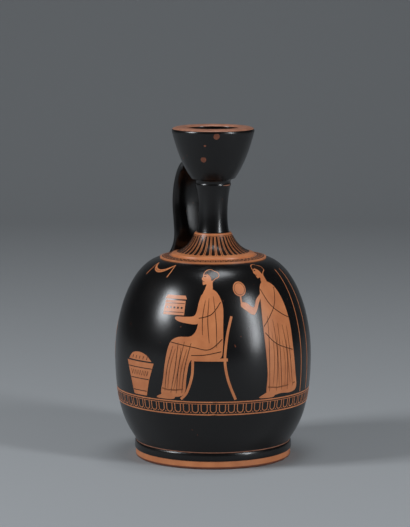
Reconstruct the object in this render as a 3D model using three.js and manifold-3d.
// Squat lekythos: a small oil flask with a round belly, a narrow neck, a bell mouth and one strap handle.
// It is five pieces of fired clay, thrown or pulled apart and luted together: foot, body, neck, mouth, handle.
// Millimetres, +Z up, origin on the pot's axis at the standing plane, handle on the +Y side.

import * as THREE from "three";
import { mergeVertices } from "three/addons/utils/BufferGeometryUtils.js";
import Module from "manifold-3d";

const wasm = await Module();
wasm.setup();

// Ring foot
const FOOT_HEIGHT = 10;
const FOOT_STAND_R = 45.4; // outer edge of the ring that the pot stands on
const FOOT_EDGE_ROUND = 1.6; // rounding from the standing ring up to the upright band
const FOOT_BAND_R = 47.2; // the plain upright band below the moulding
const FOOT_BAND_TOP = 4.9;
const FOOT_MOULDING_R = 47.9; // the half-round moulding over the band, at its widest
const FOOT_MOULDING_Z = 7.2;
const FOOT_HOLLOW_R = 36.5; // inside of the standing ring
const FOOT_HOLLOW_DRAFT = 2.5; // how far that inside leans in on its way up

// Body, from its joint with the foot to its joint with the neck
const BODY_HEIGHT = 111.5;
const BODY_BASE_R = 47;
const BODY_BASE_LEAN = 1.1; // outward lean of the wall as it leaves the foot
const BODY_BASE_PULL = 4.8; // and how high that lean carries
const BELLY_R = 59.7;
const BELLY_HEIGHT = 52; // widest place, above the foot
const BELLY_PULL_DOWN = 40; // how slowly the belly turns in below its widest place
const BELLY_PULL_UP = 27.8; // and above it
const SHOULDER_R = 32.6; // where the shoulder curve meets the flat seat of the neck's collar
const SHOULDER_PULL = 16.2;
const SHOULDER_DROP = 3.2;
const BODY_WALL = 4.2;
const BODY_FLOOR = 5.5;
const BODY_OPENING_R = 13; // hole in the shoulder, under the neck

// Neck, with the flat collar and the half-round fillet at its foot
const NECK_HEIGHT = 45.5;
const COLLAR_R = 32.2;
const COLLAR_EDGE = 0.8; // thickness of the collar at its rim
const COLLAR_RISE = 1; // from its rim in to the fillet
const FILLET_R = 25.4;
const FILLET_WIDTH = 2;
const FILLET_HEIGHT = 1.5;
const FLARE_R = 10.9; // top of the flare, at the small ledge under the black neck
const FLARE_HEIGHT = 12.2; // from the fillet's top to that ledge
const FLARE_PULL = [2.05, 3.7]; // out and down, leaving the ledge
const FLARE_SWEEP = [8.2, 2.4]; // in and up, leaving the fillet
const LEDGE_WIDTH = 1.3;
const LEDGE_HEIGHT = 0.9;
const NECK_PULL_LOW = [1.2, 4.9]; // in and up, above the ledge
const NECK_PULL_HIGH = [2.4, 9.5]; // in and down, below the ridge
const NECK_TOP_R = 10.6;
const RIDGE_OUT = 0.45; // the ridge that hides the joint with the mouth
const RIDGE_HEIGHT = 1.8;
const BORE_R = 5.7;
const BORE_TOP_R = 6.3;

// Mouth
const MOUTH_HEIGHT = 33; // from the joint with the neck to the rim's outer edge
const MOUTH_HEEL_R = 13.4; // the turn under the bell
const MOUTH_HEEL_HEIGHT = 2.8;
const MOUTH_PULL_LOW = [6, 8.7]; // out and up, leaving the heel
const MOUTH_PULL_HIGH = [2.2, 8.7]; // in and down, below the rim
const RIM_R = 25;
const RIM_ROUND = 1.6;
const LIP_CREST_R = 19.6;
const LIP_CREST_RISE = 0.95; // the crowned lip over the rim's edge
const LIP_INNER_R = 15.8;
const LIP_INNER_DROP = 0.5; // inner edge below the rim's edge
const BOWL_R = 18.3; // hollow of the mouth under the lip
const BOWL_DEPTH = 8;

// Strap handle, from the bell's lower wall down to the shoulder
const STRAP_WIDTH = 21;
const STRAP_THICKNESS = 6.4;
const STRAP_SQUARENESS = 2.6; // 2 is an ellipse, more is squarer
const STRAP_END_SPREAD = 5; // extra width where it is pressed on at both ends
const STRAP_BULGE_R = 31; // centre of the strap at its widest reach
const STRAP_BULGE_RISE = 31; // and how far over the shoulder that is
const STRAP_WAIST_R = 28.9; // centre of the strap above its lower root
const STRAP_WAIST_RISE = 11.5; // and its height over the shoulder
const STRAP_BELOW_RIM = 22; // top end of the strap, below the rim's edge
const STRAP_START_R = 12; // the top end's centre, inside the bell's wall before it is trimmed
const STRAP_ROOT_OUT = 3; // lower end's centre, outside the collar
const STRAP_ROOT_DEPTH = 5; // and below the shoulder before it is trimmed
const SEAT_GAP = 0.3; // slip joint between the handle and what it is pressed on

// Fineness of the faceted solids
const ROUND_SEGMENTS = 48;
const SLIM_SEGMENTS = 36;
const CURVE_STEPS = 5;
const STRAP_STEPS = 22;
const STRAP_SIDES = 14;
const EDGE_DRAW = 1e-3; // points closer than this are one point

// Heights of the joints
const BODY_Z = FOOT_HEIGHT;
const NECK_Z = BODY_Z + BODY_HEIGHT;
const MOUTH_Z = NECK_Z + NECK_HEIGHT;
const RIM_Z = MOUTH_Z + MOUTH_HEIGHT;

const slip = new THREE.MeshStandardMaterial({ color: 0x15130f, roughness: 0.24, metalness: 0 });
const footSlip = new THREE.MeshStandardMaterial({ color: 0x1b1712, roughness: 0.3, metalness: 0 });
const tongueGround = new THREE.MeshStandardMaterial({ color: 0x3a2417, roughness: 0.3, metalness: 0 });

// Outer outline of the foot, from the standing ring up.
function footOutline(path) {
  path.moveTo(FOOT_STAND_R, 0);
  path.quadraticCurveTo(FOOT_BAND_R, 0, FOOT_BAND_R, FOOT_EDGE_ROUND);
  path.lineTo(FOOT_BAND_R, FOOT_BAND_TOP);
  path.quadraticCurveTo(FOOT_MOULDING_R, FOOT_BAND_TOP, FOOT_MOULDING_R, FOOT_MOULDING_Z);
  path.quadraticCurveTo(FOOT_MOULDING_R, FOOT_HEIGHT, BODY_BASE_R, FOOT_HEIGHT);
  return path;
}

// Outer outline of the body, from its base up to the flat seat of the collar.
function bodyOutline(path) {
  const bellyZ = BODY_Z + BELLY_HEIGHT;
  path.moveTo(BODY_BASE_R, BODY_Z);
  path.bezierCurveTo(
    BODY_BASE_R + BODY_BASE_LEAN, BODY_Z + BODY_BASE_PULL,
    BELLY_R, bellyZ - BELLY_PULL_DOWN,
    BELLY_R, bellyZ,
  );
  path.bezierCurveTo(
    BELLY_R, bellyZ + BELLY_PULL_UP,
    SHOULDER_R + SHOULDER_PULL, NECK_Z - SHOULDER_DROP,
    SHOULDER_R, NECK_Z,
  );
  return path;
}

// Outer outline of the neck, from the collar's rim up to the joint with the mouth.
function neckOutline(path) {
  const filletZ = NECK_Z + COLLAR_EDGE + COLLAR_RISE;
  const filletTop = filletZ + FILLET_HEIGHT;
  const flareFootR = FILLET_R - FILLET_WIDTH;
  const ledgeZ = filletTop + FLARE_HEIGHT;
  const neckR = FLARE_R - LEDGE_WIDTH;
  path.moveTo(COLLAR_R, NECK_Z);
  path.lineTo(COLLAR_R, NECK_Z + COLLAR_EDGE);
  path.lineTo(FILLET_R, filletZ);
  path.quadraticCurveTo(FILLET_R, filletTop, flareFootR, filletTop);
  path.bezierCurveTo(
    flareFootR - FLARE_SWEEP[0], filletTop + FLARE_SWEEP[1],
    FLARE_R + FLARE_PULL[0], ledgeZ - FLARE_PULL[1],
    FLARE_R, ledgeZ,
  );
  path.quadraticCurveTo(neckR, ledgeZ, neckR, ledgeZ + LEDGE_HEIGHT);
  path.bezierCurveTo(
    neckR - NECK_PULL_LOW[0], ledgeZ + LEDGE_HEIGHT + NECK_PULL_LOW[1],
    NECK_TOP_R - NECK_PULL_HIGH[0], MOUTH_Z - RIDGE_HEIGHT - NECK_PULL_HIGH[1],
    NECK_TOP_R, MOUTH_Z - RIDGE_HEIGHT,
  );
  path.quadraticCurveTo(NECK_TOP_R + RIDGE_OUT, MOUTH_Z - RIDGE_HEIGHT / 2, NECK_TOP_R, MOUTH_Z);
  return path;
}

// Outer outline of the mouth, from the joint with the neck up to the lip's crest.
function mouthOutline(path) {
  const heelZ = MOUTH_Z + MOUTH_HEEL_HEIGHT;
  path.moveTo(NECK_TOP_R, MOUTH_Z);
  path.quadraticCurveTo(NECK_TOP_R, heelZ, MOUTH_HEEL_R, heelZ);
  path.bezierCurveTo(
    MOUTH_HEEL_R + MOUTH_PULL_LOW[0], heelZ + MOUTH_PULL_LOW[1],
    RIM_R - MOUTH_PULL_HIGH[0], RIM_Z - RIM_ROUND - MOUTH_PULL_HIGH[1],
    RIM_R, RIM_Z - RIM_ROUND,
  );
  path.quadraticCurveTo(RIM_R, RIM_Z, RIM_R - RIM_ROUND, RIM_Z + LIP_CREST_RISE / 2);
  path.quadraticCurveTo(
    (RIM_R + LIP_CREST_R) / 2, RIM_Z + LIP_CREST_RISE,
    LIP_CREST_R, RIM_Z + LIP_CREST_RISE,
  );
  return path;
}

// A closed profile turned once round the pot's axis. The profile runs counterclockwise, radius then height.
function thrown(name, path, segments, material) {
  const points = path.getPoints(CURVE_STEPS);
  const distinct = points.filter((p, i) => i === 0 || p.distanceTo(points[i - 1]) > EDGE_DRAW);
  if (distinct.at(-1).distanceTo(distinct[0]) > EDGE_DRAW) distinct.push(distinct[0].clone());
  const mesh = new THREE.Mesh(new THREE.LatheGeometry(distinct, segments), material);
  mesh.name = name;
  return mesh;
}

function makeFoot() {
  const path = footOutline(new THREE.Path());
  path.lineTo(FOOT_HOLLOW_R - FOOT_HOLLOW_DRAFT, FOOT_HEIGHT);
  path.lineTo(FOOT_HOLLOW_R, 0);
  path.lineTo(FOOT_STAND_R, 0);
  return thrown("foot", path, ROUND_SEGMENTS, footSlip);
}

function makeBody() {
  const bellyZ = BODY_Z + BELLY_HEIGHT;
  const floorZ = BODY_Z + BODY_FLOOR;
  const insideR = BELLY_R - BODY_WALL;
  const path = bodyOutline(new THREE.Path());
  path.lineTo(BODY_OPENING_R, NECK_Z);
  path.lineTo(BODY_OPENING_R, NECK_Z - BODY_WALL);
  path.bezierCurveTo(
    SHOULDER_R + SHOULDER_PULL - BODY_WALL / 2, NECK_Z - SHOULDER_DROP - BODY_WALL,
    insideR, bellyZ + BELLY_PULL_UP - BODY_WALL / 2,
    insideR, bellyZ,
  );
  path.bezierCurveTo(
    insideR, bellyZ - BELLY_PULL_DOWN / 2,
    BODY_BASE_R, floorZ,
    BODY_BASE_R / 2, floorZ,
  );
  path.lineTo(0, floorZ);
  path.lineTo(0, BODY_Z);
  path.lineTo(BODY_BASE_R, BODY_Z);
  return thrown("body", path, ROUND_SEGMENTS, slip);
}

function makeNeck() {
  const flareTop = NECK_Z + COLLAR_EDGE + COLLAR_RISE + FILLET_HEIGHT + FLARE_HEIGHT;
  const path = neckOutline(new THREE.Path());
  path.lineTo(BORE_TOP_R, MOUTH_Z);
  path.lineTo(BORE_R, flareTop);
  path.bezierCurveTo(
    BORE_R, (flareTop + NECK_Z) / 2,
    BODY_OPENING_R, (flareTop + NECK_Z) / 2,
    BODY_OPENING_R, NECK_Z,
  );
  path.lineTo(COLLAR_R, NECK_Z);
  return thrown("neck", path, ROUND_SEGMENTS, tongueGround);
}

function makeMouth() {
  const lipZ = RIM_Z - LIP_INNER_DROP;
  const path = mouthOutline(new THREE.Path());
  path.quadraticCurveTo(LIP_INNER_R, RIM_Z + LIP_CREST_RISE, LIP_INNER_R, lipZ);
  path.bezierCurveTo(
    BOWL_R, lipZ - BOWL_DEPTH,
    MOUTH_HEEL_R, MOUTH_Z + MOUTH_HEEL_HEIGHT + BOWL_DEPTH,
    BORE_TOP_R, MOUTH_Z + MOUTH_HEEL_HEIGHT,
  );
  path.lineTo(BORE_TOP_R, MOUTH_Z);
  path.lineTo(NECK_TOP_R, MOUTH_Z);
  return thrown("mouth", path, SLIM_SEGMENTS, slip);
}

// A manifold solid of a closed geometry whose faces point out.
function solidOf(geometry) {
  const bare = geometry.clone();
  bare.deleteAttribute("normal");
  bare.deleteAttribute("uv");
  const merged = mergeVertices(bare, EDGE_DRAW);
  return new wasm.Manifold(
    new wasm.Mesh({
      numProp: 3,
      vertProperties: merged.attributes.position.array,
      triVerts: new Uint32Array(merged.index.array),
    }),
  );
}

function geometryOf(solid) {
  const mesh = solid.getMesh();
  const geometry = new THREE.BufferGeometry();
  geometry.setAttribute("position", new THREE.BufferAttribute(mesh.vertProperties, 3));
  geometry.setIndex(new THREE.BufferAttribute(mesh.triVerts, 1));
  geometry.computeVertexNormals();
  return geometry;
}

// What the handle is pressed on: an outline moved out by the joint's gap and filled in to the axis.
function seat(outline) {
  const points = outline(new THREE.Path()).getPoints(CURVE_STEPS);
  const moved = points.map((p, i) => {
    const before = points[Math.max(i - 1, 0)];
    const after = points[Math.min(i + 1, points.length - 1)];
    const along = after.clone().sub(before).normalize();
    return new THREE.Vector2(p.x + along.y * SEAT_GAP, p.y - along.x * SEAT_GAP);
  });
  const bottom = new THREE.Vector2(0, moved[0].y);
  const top = new THREE.Vector2(0, moved.at(-1).y);
  const geometry = new THREE.LatheGeometry([bottom, ...moved, top, bottom.clone()], SLIM_SEGMENTS);
  return solidOf(geometry.rotateX(Math.PI / 2));
}

// The centre line of the strap, in the YZ plane.
function strapLine() {
  const at = (r, z) => new THREE.Vector3(0, r, z);
  const startZ = RIM_Z - STRAP_BELOW_RIM;
  const rootR = COLLAR_R + STRAP_ROOT_OUT;
  const rootZ = NECK_Z - STRAP_ROOT_DEPTH;
  const bulgeZ = NECK_Z + STRAP_BULGE_RISE;
  const waistZ = NECK_Z + STRAP_WAIST_RISE;
  const archPull = (startZ - bulgeZ) / 2;
  const sidePull = (bulgeZ - waistZ) / 3;
  const rootPull = (waistZ - rootZ) / 3;
  const line = new THREE.CurvePath();
  line.add(new THREE.CubicBezierCurve3(
    at(STRAP_START_R, startZ),
    at((STRAP_START_R + STRAP_BULGE_R) / 2 + STRAP_THICKNESS / 2, startZ),
    at(STRAP_BULGE_R, bulgeZ + archPull),
    at(STRAP_BULGE_R, bulgeZ),
  ));
  line.add(new THREE.CubicBezierCurve3(
    at(STRAP_BULGE_R, bulgeZ),
    at(STRAP_BULGE_R, bulgeZ - sidePull),
    at(STRAP_WAIST_R, waistZ + sidePull),
    at(STRAP_WAIST_R, waistZ),
  ));
  line.add(new THREE.CubicBezierCurve3(
    at(STRAP_WAIST_R, waistZ),
    at(STRAP_WAIST_R, waistZ - rootPull),
    at((STRAP_WAIST_R + rootR) / 2, rootZ + rootPull),
    at(rootR, rootZ),
  ));
  return line;
}

// One ring of the strap's section: a superellipse, wide along X and thin across the line.
function strapRing(line, u) {
  const centre = line.getPointAt(u);
  const along = line.getTangentAt(u);
  const across = new THREE.Vector3(0, -along.z, along.y);
  const nearEnd = Math.pow(Math.abs(2 * u - 1), 5);
  const halfWidth = (STRAP_WIDTH + STRAP_END_SPREAD * nearEnd) / 2;
  const power = 2 / STRAP_SQUARENESS;
  return Array.from({ length: STRAP_SIDES }, (_, k) => {
    const angle = (2 * Math.PI * k) / STRAP_SIDES;
    const wide = Math.sign(Math.cos(angle)) * Math.pow(Math.abs(Math.cos(angle)), power);
    const thin = Math.sign(Math.sin(angle)) * Math.pow(Math.abs(Math.sin(angle)), power);
    return centre.clone()
      .addScaledVector(across, (thin * STRAP_THICKNESS) / 2)
      .add(new THREE.Vector3(wide * halfWidth, 0, 0));
  });
}

// The pulled strap as a closed loft with flat ends, before it is trimmed to its seats.
function strapGeometry() {
  const line = strapLine();
  const rings = Array.from({ length: STRAP_STEPS + 1 }, (_, i) => strapRing(line, i / STRAP_STEPS));
  const index = [];
  for (let i = 0; i < STRAP_STEPS; i++) {
    for (let k = 0; k < STRAP_SIDES; k++) {
      const next = (k + 1) % STRAP_SIDES;
      const a = i * STRAP_SIDES + k;
      const b = i * STRAP_SIDES + next;
      const c = a + STRAP_SIDES;
      const d = b + STRAP_SIDES;
      index.push(a, c, b, b, c, d);
    }
  }
  const lastRing = STRAP_STEPS * STRAP_SIDES;
  for (let k = 1; k < STRAP_SIDES - 1; k++) {
    index.push(0, k, k + 1);
    index.push(lastRing, lastRing + k + 1, lastRing + k);
  }
  const geometry = new THREE.BufferGeometry();
  geometry.setAttribute(
    "position",
    new THREE.Float32BufferAttribute(rings.flat().flatMap((p) => p.toArray()), 3),
  );
  geometry.setIndex(index);
  return geometry;
}

function makeHandle() {
  const trimmed = [mouthOutline, neckOutline, bodyOutline].reduce(
    (strap, outline) => strap.subtract(seat(outline)),
    solidOf(strapGeometry()),
  );
  const mesh = new THREE.Mesh(geometryOf(trimmed), slip);
  mesh.name = "handle";
  return mesh;
}

// LatheGeometry turns about Y, so the thrown pieces share a group that stands their axis up along Z.
const wheel = new THREE.Group();
wheel.rotation.x = Math.PI / 2;
wheel.add(makeFoot(), makeBody(), makeNeck(), makeMouth());

const lekythos = new THREE.Group();
lekythos.name = "squat_lekythos";
lekythos.add(wheel, makeHandle());

export default lekythos;
